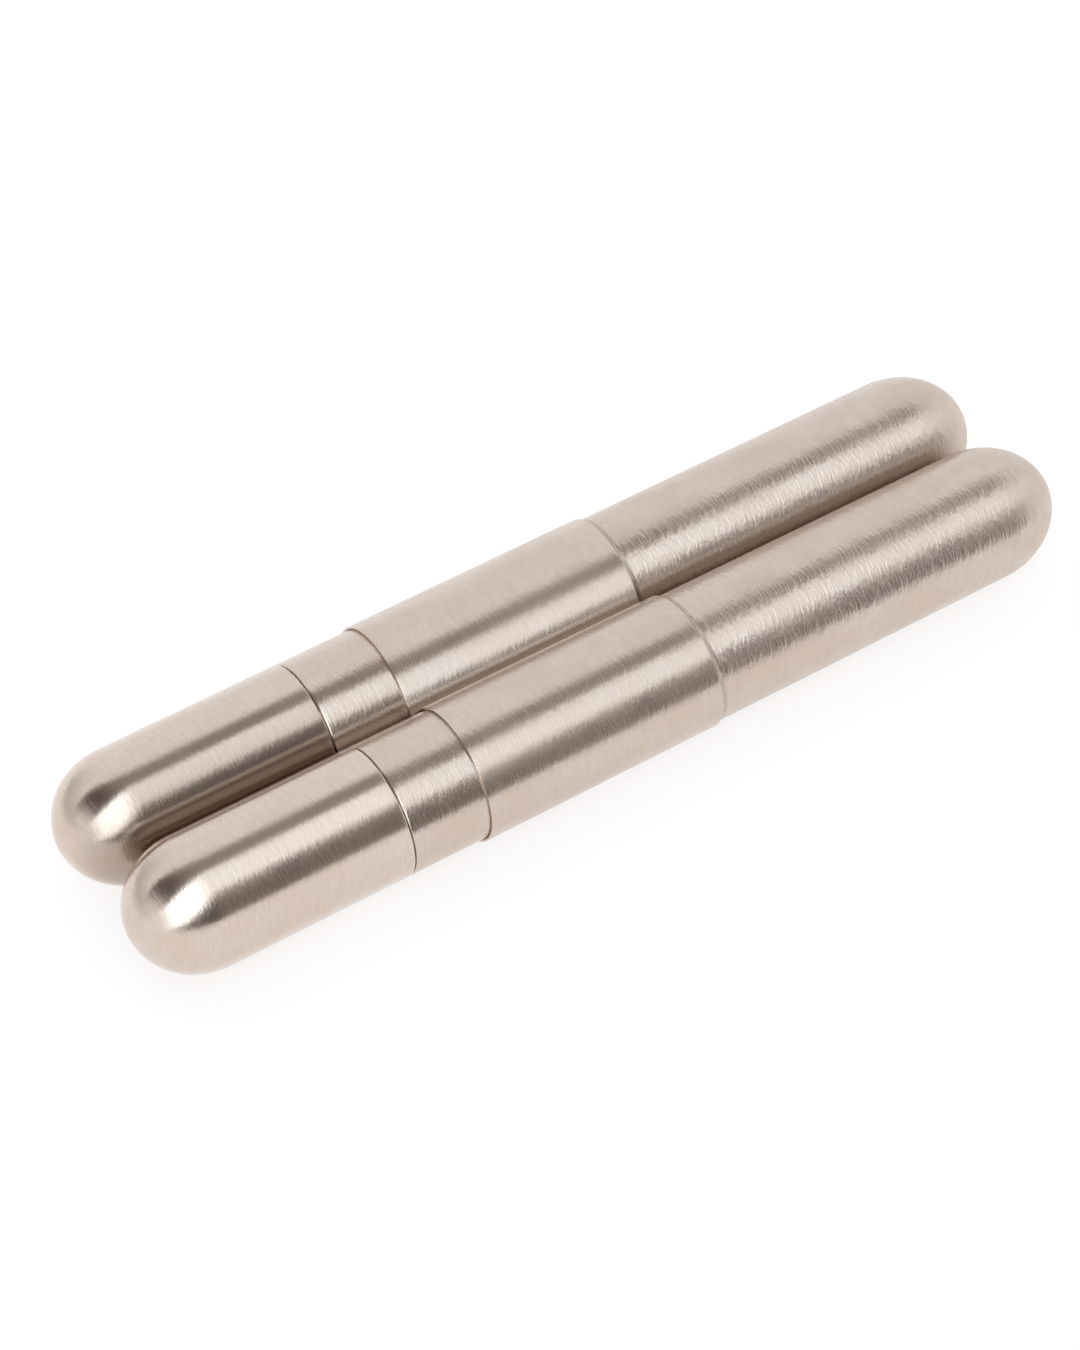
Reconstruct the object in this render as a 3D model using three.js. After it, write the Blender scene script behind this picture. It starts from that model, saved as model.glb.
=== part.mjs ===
// Twin telescoping tube case: two round-ended metal barrels lie side by side, their middle sleeves
// soldered together. In each barrel a slide tube telescopes out of the sleeve, and a domed cap
// pulls off the neck that stands out of the slide tube.
// Millimetres, +Z up. X runs along the barrels with the caps at -X; the front barrel is at -Y.
// The origin is on the ground, under the middle of the case.
import * as THREE from 'three';

// ---- driving dimensions -------------------------------------------------------------------
const TOTAL_LENGTH = 171;
const CAP_LENGTH = 43.7; // tip to mouth
const RING_SHOWING = 13.4; // slide tube showing between cap and sleeve when the case is closed
const SLEEVE_LENGTH = 43;

const SLEEVE_RADIUS = 11.5;
const SLEEVE_WALL = 0.45;
const SLIDE_CLEARANCE = 0.05; // radial, slide tube in sleeve and neck in cap
const TUBE_WALL = 0.45;
const NECK_WALL = 0.4;
const FIT_GAP = 0.02; // radial gap left where one tube is pressed or soldered in another

const CAP_DOME_DEPTH = 11.9;
const BASE_DOME_DEPTH = 13.2;
const BASE_SOCKET = 12; // base tube inside the sleeve
const NECK_SHOWING = 14; // neck standing out of the slide tube, under the cap
const NECK_SEATED = 16; // neck pressed into the slide tube
const END_GAP = 0.15; // between ends that meet
const EDGE = 0.12; // chamfer that breaks each turned edge

const GROOVE_WIDTH = 1.6; // grooves that hold the split grip rings
const GROOVE_DEPTH = 0.22;
const GROOVE_INSET = 4; // from the tube's end
const GRIP_WIDTH = 1.3;
const GRIP_SPLIT_DEG = 18; // opening of a split ring
const GRIP_LIFT = 0.06; // radial gap under a ring, so that its tube turns in it

const BEAD_LENGTH = 0.8; // solder bead along the base tube at the sleeve's end
const FILLET_LOW = 2.2; // solder between the sleeves, heights above and below the axes
const FILLET_HIGH = 3.6;
const FILLET_END_MARGIN = 0.8;
const FILLET_HOLLOW = 0.35; // how far its outer face dips
const FILLET_STEPS = 4;
const SOLDER_GAP = 0.03;

const FACETS = 40; // sides of every turned piece; a flat side faces down
const DOME_STEPS = 7;
const DOME_STEPS_INSIDE = 4;
const GRIP_FACETS = 36; // steps round a split ring
const GRIP_OUTER_CLEARANCE = 0.01; // a grip ring stands this far below its tube's surface

// ---- derived sizes ------------------------------------------------------------------------
const TIP_LEFT = -TOTAL_LENGTH / 2;
const CAP_MOUTH = TIP_LEFT + CAP_LENGTH;
const SLEEVE_START = CAP_MOUTH + RING_SHOWING;
const SLEEVE_END = SLEEVE_START + SLEEVE_LENGTH;
const TIP_RIGHT = TOTAL_LENGTH / 2;
const BASE_MOUTH = SLEEVE_END - BASE_SOCKET;

const SLEEVE_BORE = SLEEVE_RADIUS - SLEEVE_WALL;
const SLIDE_RADIUS = SLEEVE_BORE - SLIDE_CLEARANCE;
const SLIDE_BORE = SLIDE_RADIUS - TUBE_WALL;
const NECK_RADIUS = SLIDE_BORE - SLIDE_CLEARANCE;
const NECK_SEAT_RADIUS = SLIDE_BORE - FIT_GAP;
const NECK_BORE = NECK_RADIUS - NECK_WALL;
const BASE_RADIUS = SLEEVE_BORE - FIT_GAP;
const BASE_BORE = BASE_RADIUS - TUBE_WALL;
const AXIS_HEIGHT = SLEEVE_RADIUS * Math.cos(Math.PI / FACETS);

// ---- metals -------------------------------------------------------------------------------
function metal(color, roughness) {
  return new THREE.MeshStandardMaterial({ color, roughness, metalness: 1 });
}
const brushedSteel = () => metal(0xb9b0a6, 0.34);
const springSteel = () => metal(0x8f8b86, 0.3);
const solder = () => metal(0xc9c4bb, 0.38);

// ---- shapes -------------------------------------------------------------------------------
// Twice the signed area of a profile: its sign says which way round the points run.
function signedArea(profile) {
  let sum = 0;
  profile.forEach((p, i) => {
    const q = profile[(i + 1) % profile.length];
    sum += p.x * q.y - q.x * p.y;
  });
  return sum;
}

// A turned piece. The profile is a list of [along X, radius] pairs. It starts and ends on the
// axis, or is a closed loop clear of it. A flat side faces down.
function turned(name, profile, material) {
  let points = profile.map(([along, radius]) => new THREE.Vector2(radius, along));
  if (signedArea(points) < 0) points.reverse();
  const onAxis = points.some((p) => p.x === 0);
  if (!onAxis) points.push(points[0].clone());
  const geometry = new THREE.LatheGeometry(points, FACETS, Math.PI / FACETS);
  geometry.rotateZ(-Math.PI / 2);
  const mesh = new THREE.Mesh(geometry, material);
  mesh.name = name;
  return mesh;
}

// Quarter ellipse from a dome's tip on the axis to its rim; depth is negative for a tip at -X.
function quarterEllipse(rim, depth, radius, steps) {
  const points = [[rim + depth, 0]];
  for (let i = 1; i <= steps; i += 1) {
    const turn = (i / steps) * (Math.PI / 2);
    points.push([rim + depth * Math.cos(turn), radius * Math.sin(turn)]);
  }
  return points;
}

// Closed profile of a plain tube with broken edges. A list of grooves [start, end] is cut into
// its outside.
function tubeProfile(start, end, outside, bore, grooves = []) {
  const points = [[start, bore], [start, outside - EDGE], [start + EDGE, outside]];
  grooves.forEach(([from, to]) => {
    const floor = outside - GROOVE_DEPTH;
    points.push([from, outside], [from, floor], [to, floor], [to, outside]);
  });
  points.push([end - EDGE, outside], [end, outside - EDGE], [end, bore]);
  return points;
}

// A drawn tube with one domed end, open at its mouth.
function domedTube(name, mouth, tip, domeDepth, radius, wall) {
  const side = Math.sign(tip - mouth);
  const rim = tip - side * domeDepth;
  const outer = quarterEllipse(rim, side * domeDepth, radius, DOME_STEPS);
  const inner = quarterEllipse(rim, side * (domeDepth - wall), radius - wall, DOME_STEPS_INSIDE);
  const edge = [[mouth + side * EDGE, radius], [mouth, radius - EDGE], [mouth, radius - wall]];
  return turned(name, [...outer, ...edge, ...inner.reverse()], brushedSteel());
}

// A thin split ring that lies in a groove, its opening facing up.
function gripRing(name, middle, tubeRadius) {
  const inside = tubeRadius - GROOVE_DEPTH + GRIP_LIFT;
  const outside = tubeRadius - GRIP_OUTER_CLEARANCE;
  const half = THREE.MathUtils.degToRad(GRIP_SPLIT_DEG / 2);
  const shape = new THREE.Shape();
  shape.absarc(0, 0, outside, half, 2 * Math.PI - half, false);
  shape.absarc(0, 0, inside, 2 * Math.PI - half, half, true);
  shape.closePath();
  const settings = { depth: GRIP_WIDTH, bevelEnabled: false, curveSegments: GRIP_FACETS };
  const geometry = new THREE.ExtrudeGeometry(shape, settings);
  geometry.rotateZ(Math.PI / 2);
  geometry.rotateX(Math.PI / 2);
  geometry.rotateZ(Math.PI / 2);
  geometry.translate(middle - GRIP_WIDTH / 2, 0, 0);
  const mesh = new THREE.Mesh(geometry, springSteel());
  mesh.name = name;
  return mesh;
}

// ---- pieces of one barrel -------------------------------------------------------------------
function endCap(barrel) {
  return domedTube(`${barrel}_end_cap`, CAP_MOUTH, TIP_LEFT, CAP_DOME_DEPTH, SLIDE_RADIUS, TUBE_WALL);
}

function baseTube(barrel) {
  return domedTube(`${barrel}_base_tube`, BASE_MOUTH, TIP_RIGHT, BASE_DOME_DEPTH, BASE_RADIUS, TUBE_WALL);
}

function sleeve(barrel) {
  const profile = tubeProfile(SLEEVE_START, SLEEVE_END, SLEEVE_RADIUS, SLEEVE_BORE);
  return turned(`${barrel}_sleeve`, profile, brushedSteel());
}

const SLIDE_START = CAP_MOUTH + END_GAP;
const SLIDE_END = BASE_MOUTH - END_GAP;
const SLIDE_GROOVE = [SLIDE_END - GROOVE_INSET - GROOVE_WIDTH, SLIDE_END - GROOVE_INSET];

function slideTube(barrel) {
  const profile = tubeProfile(SLIDE_START, SLIDE_END, SLIDE_RADIUS, SLIDE_BORE, [SLIDE_GROOVE]);
  return turned(`${barrel}_slide_tube`, profile, brushedSteel());
}

const NECK_START = SLIDE_START - NECK_SHOWING;
const NECK_END = SLIDE_START + NECK_SEATED;
const NECK_GROOVE = [NECK_START + GROOVE_INSET, NECK_START + GROOVE_INSET + GROOVE_WIDTH];

// The neck is a hair thicker where it is pressed into the slide tube.
function neckLiner(barrel) {
  const [from, to] = NECK_GROOVE;
  const floor = NECK_RADIUS - GROOVE_DEPTH;
  const profile = [
    [NECK_START, NECK_BORE],
    [NECK_START, NECK_RADIUS - EDGE],
    [NECK_START + 2 * EDGE, NECK_RADIUS],
    [from, NECK_RADIUS],
    [from, floor],
    [to, floor],
    [to, NECK_RADIUS],
    [SLIDE_START, NECK_RADIUS],
    [SLIDE_START + EDGE, NECK_SEAT_RADIUS],
    [NECK_END - EDGE, NECK_SEAT_RADIUS],
    [NECK_END, NECK_SEAT_RADIUS - EDGE],
    [NECK_END, NECK_BORE],
  ];
  return turned(`${barrel}_neck_liner`, profile, brushedSteel());
}

function middle([from, to]) {
  return (from + to) / 2;
}

// The bead of solder in the corner between the sleeve's end and the base tube.
function solderBead(barrel) {
  const foot = BASE_RADIUS + SOLDER_GAP;
  const top = SLEEVE_RADIUS - EDGE;
  const start = SLEEVE_END + SOLDER_GAP;
  const waist = foot + (top - foot) * 0.35;
  const profile = [
    [start, foot],
    [start, top],
    [start + BEAD_LENGTH * 0.4, waist],
    [start + BEAD_LENGTH, foot + SOLDER_GAP],
    [start + BEAD_LENGTH, foot],
  ];
  return turned(`${barrel}_solder_bead`, profile, solder());
}

function barrel(name, side) {
  const group = new THREE.Group();
  group.position.set(0, side * SLEEVE_RADIUS, AXIS_HEIGHT);
  group.add(
    endCap(name),
    neckLiner(name),
    gripRing(`${name}_cap_grip_ring`, middle(NECK_GROOVE), NECK_RADIUS),
    slideTube(name),
    gripRing(`${name}_slide_grip_ring`, middle(SLIDE_GROOVE), SLIDE_RADIUS),
    sleeve(name),
    solderBead(name),
    baseTube(name),
  );
  return group;
}

// ---- solder that joins the two sleeves --------------------------------------------------------
// Its section fills the corner between two circles, from one height to another, and its outer
// face is hollow, as solder draws itself.
function solderFillet(name, side) {
  const reach = SLEEVE_RADIUS + SOLDER_GAP;
  const halfGap = (height) => SLEEVE_RADIUS - Math.sqrt(reach * reach - height * height);
  const flank = [];
  for (let i = 0; i <= FILLET_STEPS; i += 1) {
    const height = FILLET_LOW + ((FILLET_HIGH - FILLET_LOW) * i) / FILLET_STEPS;
    flank.push([halfGap(height), height]);
  }
  const mirrored = flank.map(([y, z]) => [-y, z]).reverse();
  const outline = [...flank, [0, FILLET_HIGH - FILLET_HOLLOW], ...mirrored];
  const shape = new THREE.Shape(outline.map(([y, z]) => new THREE.Vector2(y, side * z)));
  const length = SLEEVE_LENGTH - 2 * FILLET_END_MARGIN;
  const geometry = new THREE.ExtrudeGeometry(shape, { depth: length, bevelEnabled: false });
  geometry.rotateX(Math.PI / 2);
  geometry.rotateZ(Math.PI / 2);
  geometry.translate(SLEEVE_START + FILLET_END_MARGIN, 0, AXIS_HEIGHT);
  const mesh = new THREE.Mesh(geometry, solder());
  mesh.name = name;
  return mesh;
}

const tubeCase = new THREE.Group();
tubeCase.add(
  barrel('rear', 1),
  barrel('front', -1),
  solderFillet('solder_fillet_top', 1),
  solderFillet('solder_fillet_bottom', -1),
);

export default tubeCase;
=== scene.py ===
import math

import bpy
import numpy as np
from mathutils import Matrix, Vector


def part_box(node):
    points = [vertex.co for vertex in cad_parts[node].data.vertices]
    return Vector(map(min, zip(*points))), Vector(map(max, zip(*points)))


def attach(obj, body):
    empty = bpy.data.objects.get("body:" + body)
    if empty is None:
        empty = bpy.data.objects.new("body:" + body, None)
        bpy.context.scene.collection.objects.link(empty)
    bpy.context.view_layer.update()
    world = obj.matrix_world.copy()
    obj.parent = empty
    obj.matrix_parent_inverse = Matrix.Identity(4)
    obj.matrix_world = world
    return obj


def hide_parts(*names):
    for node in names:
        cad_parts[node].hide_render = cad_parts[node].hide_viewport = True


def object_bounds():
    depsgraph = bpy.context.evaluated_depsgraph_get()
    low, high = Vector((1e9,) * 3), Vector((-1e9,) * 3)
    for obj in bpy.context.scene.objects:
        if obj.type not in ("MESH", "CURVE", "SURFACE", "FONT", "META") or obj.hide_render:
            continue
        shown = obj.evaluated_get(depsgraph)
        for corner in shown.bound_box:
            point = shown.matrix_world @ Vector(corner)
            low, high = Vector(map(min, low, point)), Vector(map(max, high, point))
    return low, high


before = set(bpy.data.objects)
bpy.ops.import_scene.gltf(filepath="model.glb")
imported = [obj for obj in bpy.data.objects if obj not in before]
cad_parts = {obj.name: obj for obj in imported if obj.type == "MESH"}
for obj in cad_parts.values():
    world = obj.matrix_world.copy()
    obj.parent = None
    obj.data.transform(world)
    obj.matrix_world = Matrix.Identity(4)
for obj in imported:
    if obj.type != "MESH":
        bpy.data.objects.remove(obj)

# Twin telescoping tube case in brushed steel: two round-ended barrels soldered side by side.
# Metres, +Z up. X runs along the barrels with the pull-off caps at -X; the front barrel is at -Y.

cad_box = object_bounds()

# ---- sizes ----------------------------------------------------------------------------------
BARRELS = ("rear", "front")
SEEDS = (3, 8)
WALL = 0.00045  # tubes, caps and sleeves
NECK_WALL = 0.0004
GRIP_THICKNESS = 0.00016
GRIP_SPLIT = math.radians(18)
SLIDE_CLEARANCE = 0.00004  # between a slide tube and the tubes inside and outside it
SOLDER_GAP = 0.00003  # between solder and the tubes it joins
CAP_DOME_DEPTH = 0.0119
BASE_DOME_DEPTH = 0.0132

# distance from a corner at which its rounding starts
MOUTH_ROUND = 0.0003  # turned outer edges
SLEEVE_ROUND = 0.00007
SLEEVE_END_ROUND = 3 * SLEEVE_ROUND  # the end that the solder bead lies against
MOUTH_LEAD_IN = 0.00033  # the sleeve's bore where the slide tube comes out
INNER_ROUND = 0.0001
GRIP_ROUND = 0.3 * GRIP_THICKNESS

# unevenness of what is formed by hand
PHASES = (0, 6.28)  # a wave starts anywhere in a full turn
CAP_UNEVEN = 0.0035  # largest swell of a cap, as a share of its radius
CAP_WAVES = 5
CAP_TURNS = (1, 4)  # waves round a cap: the least, and one above the most
CAP_RATES = (60, 260)  # radians per metre along a cap
BEAD_HOLLOW = 2.2  # power by which a bead's slope falls away
BEAD_UNEVEN = 0.0035  # sinking of a bead's slope, as a share of its radius
BEAD_SUNK = 0.5  # its mean, against waves of -1 to 1
BEAD_WAVES = 6
BEAD_TURNS = (7, 60)
BEAD_SEEDS = {"rear": 31, "front": 47}
FILLET_SEED = 5
FILLET_WAVES = 4
FILLET_RATES = (150, 900)
FILLET_WANDER = 0.00002  # rise and fall of a fillet's crest from one wave
FILLET_MARGIN = 0.0001  # crest of a fillet below its greatest height
FILLET_DIP = 0.3  # hollow of a fillet's face, as a share of its height

# fineness of the surfaces
ROUND_STEPS = 288  # divisions round a barrel
DOME_STEPS = 64
CORNER_STEPS = 6
SLOPE_STEPS = 12
FLANK_STEPS = 8
SEAM_STEPS = 120
SIDE_STEP = 0.0008  # spacing of the rings along a straight wall
SAME_POINT = 1e-8
SHORTEST_SIDE = 1e-12
UV_SIZE = 0.05  # metres of surface to one unit of UV
UV_NAME = "along_and_around"


def axis_of(barrel):
    """Centre line of a barrel as (y, z): the middle of its sleeve's box."""
    low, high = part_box(f"{barrel}_sleeve")
    return (low[1] + high[1]) / 2, (low[2] + high[2]) / 2


def half_height(node):
    """Half the height of a node's box, which for a tube is its radius."""
    low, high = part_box(node)
    return (high[2] - low[2]) / 2


def span(node):
    """Lowest and highest x of a node's box."""
    low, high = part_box(node)
    return low[0], high[0]


# ---- meshes ---------------------------------------------------------------------------------
def make_object(name, points, faces, uvs=None, material=None):
    """A mesh object from an (n, 3) array of points and a list of (m, k) arrays of faces."""
    mesh = bpy.data.meshes.new(name)
    counts = np.concatenate([np.full(len(f), f.shape[1]) for f in faces])
    corners = np.concatenate([f.ravel() for f in faces])
    starts = np.cumsum(counts) - counts
    mesh.vertices.add(len(points))
    mesh.vertices.foreach_set("co", points.astype(np.float32).ravel())
    mesh.loops.add(len(corners))
    mesh.loops.foreach_set("vertex_index", corners.astype(np.int32))
    mesh.polygons.add(len(counts))
    mesh.polygons.foreach_set("loop_start", starts.astype(np.int32))
    mesh.polygons.foreach_set("loop_total", counts.astype(np.int32))
    mesh.polygons.foreach_set("use_smooth", np.ones(len(counts), bool))
    if uvs is not None:
        layer = mesh.uv_layers.new(name=UV_NAME)
        pairs = np.concatenate([u.reshape(-1, 2) for u in uvs])
        layer.data.foreach_set("uv", pairs.astype(np.float32).ravel())
    mesh.update(calc_edges=True)
    mesh.validate()
    made = bpy.data.objects.new(name, mesh)
    bpy.context.collection.objects.link(made)
    if material:
        mesh.materials.append(material)
    return made


def volume_of(points, faces):
    """Volume inside a closed surface: a sixth of the sum, over its triangles, of the triple product
    of their corners. It is negative if the faces look inwards."""
    middle = points.mean(0)
    total = 0.0
    for kind in faces:
        corners = points[kind] - middle
        for k in range(1, kind.shape[1] - 1):
            normals = np.cross(corners[:, k], corners[:, k + 1])
            total += np.einsum("ij,ij->i", corners[:, 0], normals).sum()
    return total / 6


def make_solid(name, points, faces, uvs, material):
    """A closed mesh object whose faces are turned to look outwards."""
    if volume_of(points, faces) < 0:
        faces = [f[:, ::-1] for f in faces]
        uvs = [u[:, ::-1] for u in uvs]
    return make_object(name, points, faces, uvs, material)


def cell_corners(grid):
    """The four corners of every cell of a grid, in order round the cell. It serves for a grid of
    point numbers and for a grid of UV pairs."""
    corners = np.stack([grid[:-1, :-1], grid[1:, :-1], grid[1:, 1:], grid[:-1, 1:]], 2)
    return corners.reshape(-1, 4, *grid.shape[2:])


def fan(tip, ring, following):
    """Triangles from a tip to each side of a ring, from its points and the points after them."""
    return np.stack([tip + 0 * ring, ring, following], 1)


def wrapped(first, rows, columns, closed):
    """Grid of point numbers counted from the first, with its first column repeated at the end, and
    its first row too if it is closed both ways."""
    index = first + np.arange(rows * columns).reshape(rows, columns)
    return np.pad(index, ((0, int(closed)), (0, 1)), mode="wrap")


# ---- outlines -------------------------------------------------------------------------------
def soften(corners, cuts, closed):
    """Rounds an outline: each corner gives way to a parabola that leaves one side and meets the
    next at its cut's distance from the corner. With t from 0 to 1, a point of it is
    (1 - t)^2 start + 2 t (1 - t) corner + t^2 end. A cut of 0 keeps the corner."""
    corners, cuts = np.asarray(corners, float), np.asarray(cuts, float)[:, None]

    def towards(neighbours):
        """The corners moved by their cuts towards their neighbours."""
        steps = neighbours - corners
        lengths = np.maximum(np.linalg.norm(steps, axis=1), SHORTEST_SIDE)[:, None]
        return corners + steps / lengths * cuts

    start, end = towards(np.roll(corners, 1, 0)), towards(np.roll(corners, -1, 0))
    t = np.linspace(0, 1, CORNER_STEPS)[None, :, None]
    curve = (1 - t) ** 2 * start[:, None] + 2 * t * (1 - t) * corners[:, None] + t**2 * end[:, None]
    if not closed:
        curve[0], curve[-1] = corners[0], corners[-1]
    outline = curve.reshape(-1, 2)
    keep = np.linalg.norm(outline - np.roll(outline, 1, 0), axis=1) > SAME_POINT
    return outline[keep]


def divide(outline, closed):
    """Adds evenly spaced points to every side of an outline that is longer than the side step."""
    ends = np.roll(outline, -1, 0) if closed else outline[1:]
    starts = outline if closed else outline[:-1]
    lengths = np.linalg.norm(ends - starts, axis=1)
    counts = np.maximum(np.ceil(lengths / SIDE_STEP).astype(int), 1)
    side = np.repeat(np.arange(len(counts)), counts)
    first = np.cumsum(counts) - counts
    share = ((np.arange(len(side)) - first[side]) / counts[side])[:, None]
    points = starts[side] * (1 - share) + ends[side] * share
    return points if closed else np.vstack([points, outline[-1:]])


def dome(rim, depth, radius):
    """Quarter ellipse from the tip on the axis to the rim: (rim + depth cos t, radius sin t)."""
    t = np.linspace(0, np.pi / 2, DOME_STEPS)
    outline = np.stack([rim + depth * np.cos(t), radius * np.sin(t)], -1)
    outline[0, 1] = 0
    return outline


def domed_outline(mouth, tip, depth, radius):
    """Outer dome, outer wall, rounded mouth, inner wall and inner dome of a drawn tube."""
    side = math.copysign(1, tip - mouth)
    rim = tip - side * depth
    outer = dome(rim, side * depth, radius)
    inner = dome(rim, side * (depth - WALL), radius - WALL)[::-1]
    corners = np.vstack([outer, [[mouth, radius], [mouth, radius - WALL]], inner])
    cuts = np.zeros(len(corners))
    cuts[len(outer)], cuts[len(outer) + 1] = MOUTH_ROUND, INNER_ROUND
    return divide(soften(corners, cuts, False), False)


def tube_outline(start, end, radius, bore, start_round, end_round, lead_in=INNER_ROUND):
    """Rounded rectangle that a plain tube's wall shows when it is cut along; lead_in opens the bore
    at its start."""
    corners = [(start, bore), (start, radius), (end, radius), (end, bore)]
    cuts = [lead_in, start_round, end_round, INNER_ROUND / 2]
    return divide(soften(corners, cuts, True), True)


# ---- solids ---------------------------------------------------------------------------------
def turned(outline, axis, steps, swell):
    """Grid of points of a surface of revolution. An outline point (x, radius) goes to
    (x, y0 + radius cos a, z0 + radius sin a) for angles a all the way round, after its radius is
    scaled by 1 + swell(x, a)."""
    angles = np.linspace(0, 2 * np.pi, steps, endpoint=False)
    x, radius = outline[:, :1] + np.zeros(steps), outline[:, 1:] + np.zeros(steps)
    if swell:
        radius = radius * (1 + swell(x, angles))
    return np.stack([x, axis[0] + radius * np.cos(angles), axis[1] + radius * np.sin(angles)], -1)


def unrolled(outline, steps):
    """Grid of UV pairs of a surface of revolution: the length along the outline and back to its
    start, and the share of the way round."""
    sides = np.linalg.norm(np.diff(outline, axis=0, append=outline[:1]), axis=1)
    length = np.concatenate([[0], np.cumsum(sides)])
    return np.stack(np.meshgrid(length / UV_SIZE, np.arange(steps + 1) / steps, indexing="ij"), -1)


def revolve_ring(name, outline, axis, material, steps=ROUND_STEPS, swell=None):
    """Surface of revolution of a closed outline that stays clear of the axis."""
    points = turned(outline, axis, steps, swell).reshape(-1, 3)
    faces = [cell_corners(wrapped(0, len(outline), steps, True))]
    return make_solid(name, points, faces, [cell_corners(unrolled(outline, steps))], material)


def revolve_domed(name, outline, axis, material, swell=None):
    """Surface of revolution of an open outline that starts and ends on the axis, where each end is
    one point."""
    grid = turned(outline, axis, ROUND_STEPS, swell)
    points = np.vstack([grid[0, :1], grid[1:-1].reshape(-1, 3), grid[-1, :1]])
    index = wrapped(1, len(outline) - 2, ROUND_STEPS, False)
    uv = unrolled(outline, ROUND_STEPS)[:-1]
    uv_tips = (uv[:, 1:] + uv[:, :-1]) / 2
    faces = [
        cell_corners(index),
        fan(0, index[0, :-1], index[0, 1:]),
        fan(len(points) - 1, index[-1, 1:], index[-1, :-1]),
    ]
    uvs = [
        cell_corners(uv[1:-1]),
        fan(uv_tips[0], uv[1, :-1], uv[1, 1:]),
        fan(uv_tips[-1], uv[-2, 1:], uv[-2, :-1]),
    ]
    return make_solid(name, points, faces, uvs, material)


def carry(name, sections, material):
    """Solid through a row of sections of equally many points, closed by a fan at either end. Its UV
    is the place along X and up Z."""
    rows, columns = sections.shape[:2]
    points = np.vstack([sections.reshape(-1, 3), sections[0].mean(0), sections[-1].mean(0)])
    index = wrapped(0, rows, columns, False)
    faces = [
        cell_corners(index),
        fan(rows * columns, index[0, :-1], index[0, 1:]),
        fan(rows * columns + 1, index[-1, 1:], index[-1, :-1]),
    ]
    uvs = [points[kind][..., [0, 2]] / UV_SIZE for kind in faces]
    return make_solid(name, points, faces, uvs, material)


def hand_made(seed, size):
    """Slow unevenness of a spun and polished tube, as a function of x and the angle a: the mean of
    some waves height sin(turns a + rate x + phase), times the size."""
    draw = np.random.default_rng(seed)
    heights, turns = draw.uniform(-1, 1, CAP_WAVES), draw.integers(*CAP_TURNS, CAP_WAVES)
    rates, phases = draw.uniform(*CAP_RATES, CAP_WAVES), draw.uniform(*PHASES, CAP_WAVES)
    waves = list(zip(heights, turns, rates, phases))

    def swell(x, a):
        """Growth of the radius, as a share of it."""
        total = sum(height * np.sin(n * a + rate * x + phase) for height, n, rate, phase in waves)
        return total * size / len(waves)

    return swell


# ---- shader nodes ---------------------------------------------------------------------------
NOISE_ROUGHNESS = 0.6


def math_node(tree, operation, a, b=None):
    """Result of an operation on plain numbers or sockets."""
    made = tree.nodes.new("ShaderNodeMath")
    made.operation = operation
    for socket, value in zip(made.inputs, (a, b)):
        if value is None:
            continue
        if isinstance(value, (int, float)):
            socket.default_value = value
        else:
            tree.links.new(value, socket)
    return made.outputs[0]


def times(tree, a, b):
    """a times b, for plain numbers or sockets."""
    return math_node(tree, "MULTIPLY", a, b)


def ramp(tree, value, low, high, to_low=0.0, to_high=1.0):
    """Goes smoothly from to_low to to_high as the value goes from low to high, and stays there."""
    made = tree.nodes.new("ShaderNodeMapRange")
    made.interpolation_type = "SMOOTHSTEP"
    tree.links.new(value, made.inputs["Value"])
    limits = {"From Min": low, "From Max": high, "To Min": to_low, "To Max": to_high}
    for name, number in limits.items():
        made.inputs[name].default_value = number
    return made.outputs["Result"]


def blend(tree, share, under, over):
    """under + share (over - under), for plain numbers or sockets."""
    return math_node(tree, "ADD", under, times(tree, share, math_node(tree, "SUBTRACT", over, under)))


def mix_colour(tree, factor, a, b):
    """Colour a with a share of colour b, each a socket or an (r, g, b)."""
    made = tree.nodes.new("ShaderNodeMix")
    made.data_type = "RGBA"
    tree.links.new(factor, made.inputs["Factor"])
    for socket, value in ((made.inputs["A"], a), (made.inputs["B"], b)):
        if isinstance(value, tuple):
            socket.default_value = (*value, 1)
        else:
            tree.links.new(value, socket)
    return made.outputs["Result"]


def coordinates(tree, kind):
    """Socket of a texture coordinate: Object for a place on a piece, Generated for a direction."""
    return tree.nodes.new("ShaderNodeTexCoord").outputs[kind]


def axes(tree, vector):
    """The x, y and z sockets of a vector."""
    split = tree.nodes.new("ShaderNodeSeparateXYZ")
    tree.links.new(vector, split.inputs[0])
    return split.outputs


def stretched_noise(tree, centre, across, length, detail, offset):
    """Noise drawn out round the barrel: its grain is `across` metres wide along X and `length`
    metres long round the tube. The offset moves it to another part of the noise."""
    place = tree.nodes.new("ShaderNodeMapping")
    place.vector_type = "POINT"
    place.inputs["Location"].default_value = (offset, -centre[0] / length, -centre[1] / length)
    place.inputs["Scale"].default_value = (1 / across, 1 / length, 1 / length)
    tree.links.new(coordinates(tree, "Object"), place.inputs["Vector"])
    noise = tree.nodes.new("ShaderNodeTexNoise")
    noise.inputs["Scale"].default_value = 1
    noise.inputs["Detail"].default_value = detail
    noise.inputs["Roughness"].default_value = NOISE_ROUGHNESS
    tree.links.new(place.outputs[0], noise.inputs["Vector"])
    return noise.outputs["Fac"]


# ---- finishes -------------------------------------------------------------------------------
FINE_SHARE, BROAD_SHARE = 0.6, 0.4  # fine and broad scratches in the streaks
FINE_DETAIL, BROAD_DETAIL, CLOUD_DETAIL = 2.0, 1.0, 2.0
BROAD_WIDTH, BROAD_LENGTH = 3.4, 2.2  # broad scratches against fine ones
CLOUD_WIDTH, CLOUD_LENGTH = 0.011, 0.006
BROAD_OFFSET, CLOUD_OFFSET = 11.0, 5.0
SEED_OFFSET, FINISH_OFFSET = 3.7, 20  # noise offset for each step of a seed, and for each finish

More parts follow.
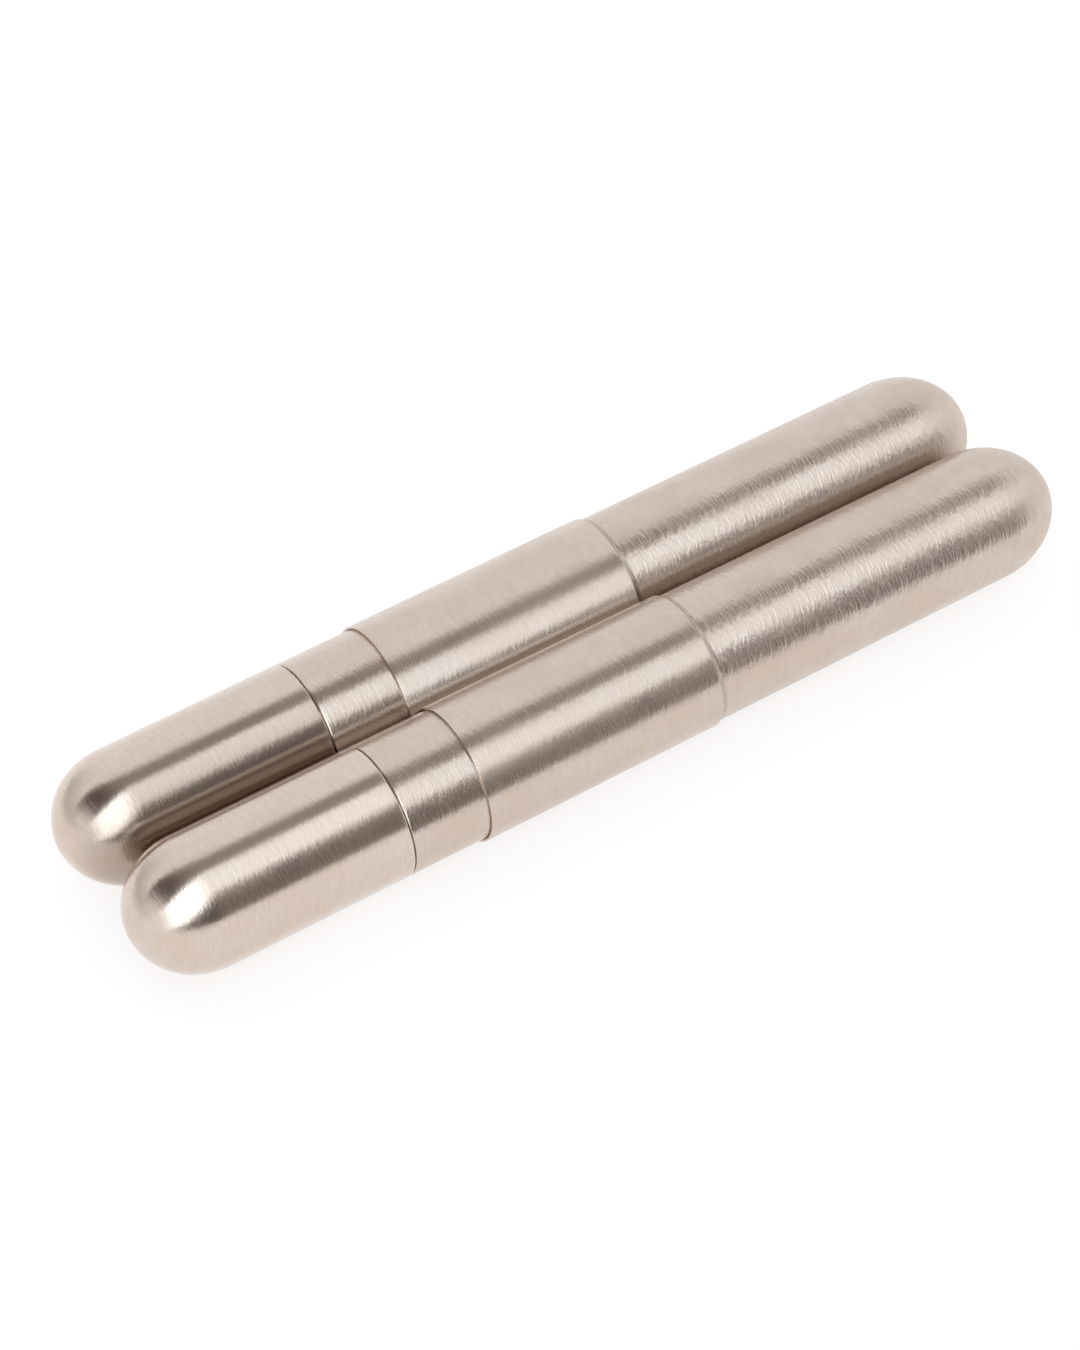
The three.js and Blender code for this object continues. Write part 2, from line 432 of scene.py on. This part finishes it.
STREAK_TONE = (0.36, 0.64)  # streak values where the dark and the light tone are reached
STREAK_SHEEN = (0.35, 0.65)
STREAK_ROUGH = (1.06, 0.95)  # roughness in the dark and in the light streaks
STAIN_RANGE = (0.35, 0.68)  # cloud values between which a stain sets in
STAIN_TINT = (0.93, 0.88, 0.82)
CLOUD_SHEEN = (0.3, 0.7)
CLOUD_ROUGH = (0.88, 1.14)
ANISOTROPY = 0.6

# colour of the painted shade between the barrels, and of the dirt specks
DIRT_AND_SHADE = (0.2, 0.14, 0.1)
SHADE_FADE_START = 0.15  # the painted shade between the barrels starts to fade at this share of its reach
SPECK_SPACING = 0.0065
SPECK_EDGE = (0.012, 0.022)  # a speck's core and rim, as shares of the spacing
SPECK_STRENGTH = 0.8
DIAGONAL = 0.7071  # cosine of 45 degrees

NICKEL_LIGHT = (0.69, 0.595, 0.532)
NICKEL_DARK = (0.645, 0.552, 0.49)
WORN = 0.94  # tone of the handled tubes against the caps
WORN_LIGHT = tuple(WORN * c for c in NICKEL_LIGHT)
WORN_DARK = tuple(WORN * c for c in NICKEL_DARK)

# light, dark: tones of the streaks; uneven: strength of the stains; grain, scratch: width along X
# and length round the barrel of a fine scratch; relief: height of the scratches; the last pair is
# the painted shade between the barrels: the distance from the plane between them that it reaches, and
# its strength.
FINISHES = {
    "cap_brushed": dict(light=NICKEL_LIGHT, dark=NICKEL_DARK, uneven=0.5, grain=0.0002,
                        scratch=0.0016, relief=0.00005, rough=0.22, between_shade=(0.0095, 0.5)),
    "slide_brushed": dict(light=WORN_LIGHT, dark=WORN_DARK, uneven=0.6, grain=0.00026,
                          scratch=0.0018, relief=0.00009, rough=0.24, between_shade=(0.005, 0.3)),
    "sleeve_brushed": dict(light=WORN_LIGHT, dark=WORN_DARK, uneven=0.6, grain=0.00026,
                           scratch=0.0018, relief=0.00008, rough=0.27, between_shade=(0.0014, 0.5)),
    "base_brushed": dict(light=WORN_LIGHT, dark=WORN_DARK, uneven=0.6, grain=0.00036,
                         scratch=0.0019, relief=0.00019, rough=0.3, between_shade=(0.0034, 0.5)),
    "spring_steel": dict(light=(0.5, 0.49, 0.48), dark=(0.4, 0.39, 0.38), uneven=0.2, grain=0.0001,
                         scratch=0.003, relief=0.000003, rough=0.25, between_shade=(0.004, 0.5)),
    "solder_filed": dict(light=(0.56, 0.485, 0.43), dark=(0.4, 0.34, 0.3), uneven=0.6, grain=0.0002,
                         scratch=0.0009, relief=0.000012, rough=0.3, between_shade=(0.004, 0.5)),
}
# Degrees by which a finish's shading leans about the barrel's line, as if the tube were out of
# round. A finish that isn't named here doesn't lean.
LEANS = {
    "rear": {"cap_brushed": -2.0, "slide_brushed": 5.0, "sleeve_brushed": 12.0, "base_brushed": 4.5},
    "front": {"cap_brushed": -2.0, "slide_brushed": 5.0, "sleeve_brushed": 5.5, "base_brushed": 4.5},
}


def streaks_of(tree, centre, look, offset):
    """Fine scratches with broad ones among them, about 0 to 1."""
    fine = stretched_noise(tree, centre, look["grain"], look["scratch"], FINE_DETAIL, offset)
    width, length = look["grain"] * BROAD_WIDTH, look["scratch"] * BROAD_LENGTH
    broad = stretched_noise(tree, centre, width, length, BROAD_DETAIL, offset + BROAD_OFFSET)
    return math_node(tree, "ADD", times(tree, fine, FINE_SHARE), times(tree, broad, BROAD_SHARE))


def painted_shade_of(tree, look):
    """Share of painted shade between the barrels: strongest on the plane between them and gone at its
    reach from it.
    """
    reach, strength = look["between_shade"]
    beside = math_node(tree, "ABSOLUTE", axes(tree, coordinates(tree, "Object"))[1])
    return ramp(tree, beside, SHADE_FADE_START * reach, reach, strength, 0.0)


def specks_of(tree):
    """Share of dirt in small round specks scattered over the surface."""
    cells = tree.nodes.new("ShaderNodeTexVoronoi")
    cells.inputs["Scale"].default_value = 1 / SPECK_SPACING
    cells.inputs["Randomness"].default_value = 1.0
    tree.links.new(coordinates(tree, "Object"), cells.inputs["Vector"])
    return ramp(tree, cells.outputs["Distance"], *SPECK_EDGE, SPECK_STRENGTH, 0.0)


def tone_of(tree, look, streaks, clouds):
    """Base colour: light and dark streaks, stains in the clouds, then painted shade between the
    barrels and dirt specks.
    """
    tone = mix_colour(tree, ramp(tree, streaks, *STREAK_TONE), look["dark"], look["light"])
    stained = tuple(c * k for c, k in zip(look["light"], STAIN_TINT))
    tone = mix_colour(tree, ramp(tree, clouds, *STAIN_RANGE, 0.0, look["uneven"]), tone, stained)
    # painted shade: the flanks that face the other barrel are darkened
    tone = mix_colour(tree, painted_shade_of(tree, look), tone, DIRT_AND_SHADE)
    return mix_colour(tree, specks_of(tree), tone, DIRT_AND_SHADE)


def roughness_of(tree, look, streaks, clouds):
    """Roughness times a factor that varies in the clouds and with the streaks."""
    matt, bright = (look["rough"] * share for share in STREAK_ROUGH)
    clouded = ramp(tree, clouds, *CLOUD_SHEEN, *CLOUD_ROUGH)
    return times(tree, clouded, ramp(tree, streaks, *STREAK_SHEEN, matt, bright))


def relief_of(tree, look, streaks, lean):
    """Height of the surface in metres: the streaks times the relief, and a slope down towards +Y
    and +Z, -tan(lean) (y + z) cos 45, which leans the shading."""
    x, y, z = axes(tree, coordinates(tree, "Object"))
    slope = -math.tan(math.radians(lean)) * DIAGONAL
    leaning = times(tree, math_node(tree, "ADD", y, z), slope)
    return math_node(tree, "ADD", leaning, times(tree, streaks, look["relief"]))


def brushed_metal(name, centre, look, lean, offset):
    """Metal brushed round the tube: scratches drawn out round the barrel lift the surface and shade
    it, and slow clouds change its tone and its sheen."""
    material = bpy.data.materials.new(name)
    material.use_nodes = True
    tree = material.node_tree
    shader = tree.nodes["Principled BSDF"]
    streaks = streaks_of(tree, centre, look, offset)
    cloud_offset = offset + CLOUD_OFFSET
    clouds = stretched_noise(tree, centre, CLOUD_WIDTH, CLOUD_LENGTH, CLOUD_DETAIL, cloud_offset)
    tree.links.new(tone_of(tree, look, streaks, clouds), shader.inputs["Base Color"])
    tree.links.new(roughness_of(tree, look, streaks, clouds), shader.inputs["Roughness"])
    shader.inputs["Metallic"].default_value = 1.0
    shader.inputs["Anisotropic"].default_value = ANISOTROPY
    tangent = tree.nodes.new("ShaderNodeTangent")
    tangent.direction_type = "UV_MAP"
    tangent.uv_map = UV_NAME
    tree.links.new(tangent.outputs[0], shader.inputs["Tangent"])
    bump = tree.nodes.new("ShaderNodeBump")
    bump.inputs["Strength"].default_value = 1.0
    bump.inputs["Distance"].default_value = 1.0
    tree.links.new(relief_of(tree, look, streaks, lean), bump.inputs["Height"])
    tree.links.new(bump.outputs[0], shader.inputs["Normal"])
    return material


def barrel_finishes(barrel, seed):
    """Every finish for one barrel, each with its own part of the noise."""
    made = {}
    for step, (kind, look) in enumerate(FINISHES.items()):
        offset = seed * SEED_OFFSET + step * FINISH_OFFSET
        lean = LEANS[barrel].get(kind, 0.0)
        made[kind] = brushed_metal(f"{barrel}_{kind}", axis_of(barrel), look, lean, offset)
    return made


# ---- pieces ---------------------------------------------------------------------------------
def finish_piece(piece, body, node):
    """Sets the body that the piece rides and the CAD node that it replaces."""
    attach(piece, body)
    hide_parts(node)


def end_cap(barrel, seed, material):
    """Drawn cap with a domed end, open at its mouth."""
    node = f"{barrel}_end_cap"
    tip, mouth = span(node)
    outline = domed_outline(mouth, tip, CAP_DOME_DEPTH, half_height(f"{barrel}_slide_tube"))
    swell = hand_made(seed, CAP_UNEVEN)
    piece = revolve_domed(f"{node}_fine", outline, axis_of(barrel), material, swell)
    finish_piece(piece, f"{barrel}_cap", node)


def base_tube(barrel, material):
    """Drawn tube with a domed end, whose mouth lies in the sleeve."""
    node = f"{barrel}_base_tube"
    mouth, tip = span(node)
    outline = domed_outline(mouth, tip, BASE_DOME_DEPTH, half_height(node))
    piece = revolve_domed(f"{node}_fine", outline, axis_of(barrel), material)
    finish_piece(piece, "case", node)


def plain_tube(barrel, part, body, material, radius, bore, start_round, end_round, lead_in):
    """Tube open at both ends, with rounded edges."""
    node = f"{barrel}_{part}"
    outline = tube_outline(*span(node), radius, bore, start_round, end_round, lead_in)
    piece = revolve_ring(f"{node}_fine", outline, axis_of(barrel), material)
    finish_piece(piece, body, node)


def plain_tubes(barrel, finish):
    """Slide tube, the neck liner inside it and the sleeve round it, each a clearance apart."""
    slide, sleeve = half_height(f"{barrel}_slide_tube"), half_height(f"{barrel}_sleeve")
    neck = slide - WALL - SLIDE_CLEARANCE
    body, metal = f"{barrel}_slide", finish["slide_brushed"]
    edges = (MOUTH_ROUND, INNER_ROUND, INNER_ROUND)
    plain_tube(barrel, "slide_tube", body, metal, slide, slide - WALL, *edges)
    plain_tube(barrel, "neck_liner", body, metal, neck, neck - NECK_WALL, *edges)
    edges = (SLEEVE_ROUND, SLEEVE_END_ROUND, MOUTH_LEAD_IN)
    bore = slide + SLIDE_CLEARANCE
    plain_tube(barrel, "sleeve", "case", finish["sleeve_brushed"], sleeve, bore, *edges)


def grip_ring(barrel, side, material):
    """Split spring ring: a flat rounded section (x, reach) carried round the axis to
    (x, y0 + reach cos a, z0 + reach sin a), from one side of the split at the top to the other."""
    body = f"{barrel}_{side}_grip"
    node = f"{body}_ring"
    y0, z0 = axis_of(barrel)
    radius = half_height(node)
    edges = (GRIP_ROUND, GRIP_ROUND, GRIP_ROUND)
    section = tube_outline(*span(node), radius, radius - GRIP_THICKNESS, *edges)
    top = np.pi / 2
    angles = np.linspace(top + GRIP_SPLIT / 2, top + 2 * np.pi - GRIP_SPLIT / 2, ROUND_STEPS)[:, None]
    x, reach = section[:, 0] + 0 * angles, section[:, 1]
    sections = np.stack([x, y0 + reach * np.cos(angles), z0 + reach * np.sin(angles)], -1)
    finish_piece(carry(f"{node}_fine", sections, material), body, node)


def solder_bead(barrel, material):
    """Thin wedge of solder round the base tube against the sleeve. Its slope falls from the sleeve
    as (1 - t) to a power, and sinks unevenly round the tube, by the mean of some waves
    sin(turns a + phase)."""
    node = f"{barrel}_solder_bead"
    start, end = span(node)
    top, foot = half_height(node), half_height(f"{barrel}_base_tube") + SOLDER_GAP
    t = np.linspace(0, 1, SLOPE_STEPS)
    fall = (top - foot - SOLDER_GAP) * (1 - t) ** BEAD_HOLLOW
    slope = np.stack([start + (end - start) * t, foot + SOLDER_GAP / 2 + fall], -1)
    outline = np.vstack([[[start, foot]], slope, [[end, foot]]])
    draw = np.random.default_rng(BEAD_SEEDS[barrel])
    waves = list(zip(draw.integers(*BEAD_TURNS, BEAD_WAVES), draw.uniform(*PHASES, BEAD_WAVES)))

    def flowed(x, a):
        """Sinks the slope most halfway along it, by an amount that varies round the tube."""
        ripple = sum(np.sin(turns * a + phase) for turns, phase in waves) / len(waves)
        halfway = np.sin(np.pi * (x - start) / (end - start))
        return -BEAD_UNEVEN * halfway * (BEAD_SUNK + ripple)

    axis = axis_of(barrel)
    piece = revolve_ring(f"{node}_fine", outline, axis, material, 2 * ROUND_STEPS, flowed)
    finish_piece(piece, "case", node)


def solder_fillet(node, side, material):
    """Solder in the corner between the sleeves. At a height h from the axes its flanks lie
    radius - sqrt(reach^2 - h^2) from the middle plane, along the two circles; its outer face is
    hollow, and its crest wanders along the seam by the sum of some waves sin(rate x + phase)."""
    low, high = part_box(node)
    radius, height = half_height("rear_sleeve"), axis_of("rear")[1]
    inner, outer = sorted((abs(low[2] - height), abs(high[2] - height)))
    x = np.linspace(low[0], high[0], SEAM_STEPS)[:, None]
    draw = np.random.default_rng(FILLET_SEED)
    waves = zip(draw.uniform(*FILLET_RATES, FILLET_WAVES), draw.uniform(*PHASES, FILLET_WAVES))
    wander = sum(np.sin(x * rate + phase) for rate, phase in waves)
    crest = outer - FILLET_MARGIN + FILLET_WANDER * wander
    h = inner + (crest - inner) * np.linspace(0, 1, FLANK_STEPS)
    half_gap = radius - np.sqrt((radius + SOLDER_GAP) ** 2 - h**2)
    dip = crest - FILLET_DIP * (crest - inner)
    y = np.concatenate([half_gap, 0 * crest, -half_gap[:, ::-1]], 1)
    z = np.concatenate([h, dip, h[:, ::-1]], 1) * side + height
    sections = np.stack([x + 0 * y, y, z], -1)
    finish_piece(carry(f"{node}_fine", sections, material), "case", node)


def build_barrel(barrel, seed):
    """Every piece of one barrel. Gives back the barrel's finishes."""
    finish = barrel_finishes(barrel, seed)
    end_cap(barrel, seed, finish["cap_brushed"])
    plain_tubes(barrel, finish)
    base_tube(barrel, finish["base_brushed"])
    grip_ring(barrel, "cap", finish["spring_steel"])
    grip_ring(barrel, "slide", finish["spring_steel"])
    solder_bead(barrel, finish["solder_filed"])
    return finish


finishes = {barrel: build_barrel(barrel, seed) for barrel, seed in zip(BARRELS, SEEDS)}
solder_fillet("solder_fillet_top", 1, finishes["front"]["solder_filed"])
solder_fillet("solder_fillet_bottom", -1, finishes["front"]["solder_filed"])


# ---- floor ----------------------------------------------------------------------------------
PAPER_REACH = 3.0  # from the middle to each edge
PAPER_POINTS = 40
PAPER_GAP = 0.00002  # under the case
PAPER_COLOUR = (0.24, 0.235, 0.23, 1)
PAPER_ROUGHNESS = 0.9
PAPER_SPECULAR = 0.1
PAPER_GLOW = (1.0, 0.985, 0.98, 1)
PAPER_GLOW_STRENGTH = 0.78


def paper_floor():
    """A wide sheet of white paper under the case. It glows a little, so that it stays white."""
    along = np.linspace(-PAPER_REACH, PAPER_REACH, PAPER_POINTS)
    x, y = np.meshgrid(along, along, indexing="ij")
    points = np.stack([x, y, 0 * x + cad_box[0][2] - PAPER_GAP], -1).reshape(-1, 3)
    index = np.arange(PAPER_POINTS**2).reshape(PAPER_POINTS, PAPER_POINTS)
    material = bpy.data.materials.new("white_paper")
    material.use_nodes = True
    shader = material.node_tree.nodes["Principled BSDF"]
    shader.inputs["Base Color"].default_value = PAPER_COLOUR
    shader.inputs["Roughness"].default_value = PAPER_ROUGHNESS
    shader.inputs["Specular IOR Level"].default_value = PAPER_SPECULAR
    shader.inputs["Emission Color"].default_value = PAPER_GLOW
    shader.inputs["Emission Strength"].default_value = PAPER_GLOW_STRENGTH
    floor = make_object("paper_floor", points, [cell_corners(index)], None, material)


paper_floor()


# ---- light ----------------------------------------------------------------------------------
# A direction is given by its lean along X and its turn about X, both in degrees: a turn of 0 is
# level to the front, 90 straight up and 180 level to the back.
LEAN_LIMIT = 15.0  # the softbox's edges run level beyond this lean
SOFTBOX_FOOT = (0.62, 36.0)  # turn of its lower edge: slope with the lean, and value at no lean
SOFTBOX_HEAD = (0.25, 77.0)
SOFTBOX_REACH = (-56.0, 52.0)  # leans of its two ends
SOFTBOX_GLOW = (-14, 15, 2.6, 1.2)  # from and to leans, and brightness there
SOFTBOX_SOFT = 3
DARK_HEAD = (-0.59, 101.0)  # upper edge of the dark above the softbox
DARK_HEAD_LEAST = 105.0
UPPER_REACH = (-56.0, 38.0)
UPPER_LEVEL = (-32, 2, 0.1, 0.32)
UPPER_SOFT = 6
LOWER_FOOT = -8.0  # lower edge of the dark below the softbox
LOWER_LEVEL = (6, 50, 0.1, 0.6)
LOWER_SOFT = 4
REACH_SOFT = 14
ROOM_LEVEL, BACK_LEVEL = 1.0, 0.66
BACK_TURN = (122, 168)
BACK_LEAN = (-24, 0, 1.0, 0.0)
WARM_DARK, WARM_RANGE = (1.0, 0.83, 0.75), (0.1, 0.9)  # tint of the dark, and levels it covers
COOL_LIGHT, COOL_RANGE = (0.93, 1.0, 1.04), (0.95, 1.5)


def band(tree, value, low, high, soft):
    """1 between low and high, which may vary, fading to 0 over soft on either side."""
    above = math_node(tree, "SUBTRACT", value, low)
    below = math_node(tree, "SUBTRACT", high, value)
    return times(tree, ramp(tree, above, -soft, soft), ramp(tree, below, -soft, soft))


def straight(tree, value, slope, start):
    """start + slope value"""
    return math_node(tree, "ADD", times(tree, value, slope), start)


def lean_and_turn(tree):
    """The direction's lean, asin x, and turn, atan2(z, -y), in degrees."""
    x, y, z = axes(tree, coordinates(tree, "Generated"))
    degrees = 180 / math.pi
    turn = times(tree, math_node(tree, "ARCTAN2", z, times(tree, y, -1.0)), degrees)
    lean = times(tree, math_node(tree, "ARCSINE", x), degrees)
    return lean, turn


def room_level(tree, lean, turn):
    """Brightness in a direction: the room, a dark area above the softbox, one below it, and the
    softbox over them."""
    near = math_node(tree, "MINIMUM", lean, LEAN_LIMIT)
    foot, head = straight(tree, near, *SOFTBOX_FOOT), straight(tree, near, *SOFTBOX_HEAD)
    dark_head = math_node(tree, "MAXIMUM", straight(tree, lean, *DARK_HEAD), DARK_HEAD_LEAST)
    reach = band(tree, lean, *SOFTBOX_REACH, REACH_SOFT)
    upper_reach = band(tree, lean, *UPPER_REACH, REACH_SOFT)
    back_wall = times(tree, ramp(tree, turn, *BACK_TURN), ramp(tree, lean, *BACK_LEAN))
    level = blend(tree, back_wall, ROOM_LEVEL, BACK_LEVEL)
    above = times(tree, band(tree, turn, head, dark_head, UPPER_SOFT), upper_reach)
    level = blend(tree, above, level, ramp(tree, lean, *UPPER_LEVEL))
    below = times(tree, band(tree, turn, LOWER_FOOT, foot, LOWER_SOFT), reach)
    level = blend(tree, below, level, ramp(tree, lean, *LOWER_LEVEL))
    softbox = times(tree, band(tree, turn, foot, head, SOFTBOX_SOFT), reach)
    return blend(tree, softbox, level, ramp(tree, lean, *SOFTBOX_GLOW))


def light_room():
    """A white studio round the case, dark in front and above, where one long softbox hangs."""
    world = bpy.data.worlds.new("studio")
    bpy.context.scene.world = world
    world.use_nodes = True
    tree = world.node_tree
    background = tree.nodes["Background"]
    level = room_level(tree, *lean_and_turn(tree))
    tone = mix_colour(tree, ramp(tree, level, *WARM_RANGE), WARM_DARK, (1, 1, 1))
    tone = mix_colour(tree, ramp(tree, level, *COOL_RANGE), tone, COOL_LIGHT)
    tree.links.new(tone, background.inputs["Color"])
    tree.links.new(level, background.inputs["Strength"])


LAMP_SIDE = 1.2
LAMP_WATTS = 3.0
LAMP_PLACE = (-0.1, 0.25, 1.2)


def fill_light():
    """A broad lamp above, facing the case. It gives the soft shadows and isn't reflected."""
    lamp = bpy.data.lights.new("overhead_fill", "AREA")
    lamp.shape = "RECTANGLE"
    lamp.size, lamp.size_y = LAMP_SIDE, LAMP_SIDE
    lamp.energy = LAMP_WATTS
    held = bpy.data.objects.new("overhead_fill", lamp)
    held.location = LAMP_PLACE
    held.rotation_euler = Vector(LAMP_PLACE).to_track_quat("Z", "Y").to_euler()
    held.visible_glossy = False
    bpy.context.collection.objects.link(held)


light_room()
fill_light()


# ---- camera ---------------------------------------------------------------------------------
AZIMUTH, ELEVATION, ROLL = -28.56, 43.03, -5.64  # degrees
DISTANCE = 0.631
AIM_BESIDE_MIDDLE = (-0.0054, -0.0005)
LENS, SENSOR_WIDTH = 106.05, 36  # millimetres
CLIP_NEAR, CLIP_FAR = 0.01, 20


def place_camera():
    """Looks at the case from above its capped end, the camera tipped a little about its own line."""
    a, e, r = (math.radians(v) for v in (AZIMUTH, ELEVATION, ROLL))
    back = Vector((math.sin(a) * math.cos(e), -math.cos(a) * math.cos(e), math.sin(e)))
    level = Vector((math.cos(a), math.sin(a), 0))
    up = back.cross(level)
    right = level * math.cos(r) + up * math.sin(r)
    top = up * math.cos(r) - level * math.sin(r)
    aim = Vector((*AIM_BESIDE_MIDDLE, axis_of("front")[1]))
    camera = bpy.data.cameras.new("camera")
    camera.lens = LENS
    camera.sensor_width = SENSOR_WIDTH
    camera.clip_start, camera.clip_end = CLIP_NEAR, CLIP_FAR
    held = bpy.data.objects.new("camera", camera)
    turned = Matrix((right, top, back)).transposed().to_4x4()
    held.matrix_world = Matrix.Translation(aim + back * DISTANCE) @ turned
    bpy.context.collection.objects.link(held)
    bpy.context.scene.camera = held


place_camera()
bpy.context.scene.view_settings.view_transform = "Standard"
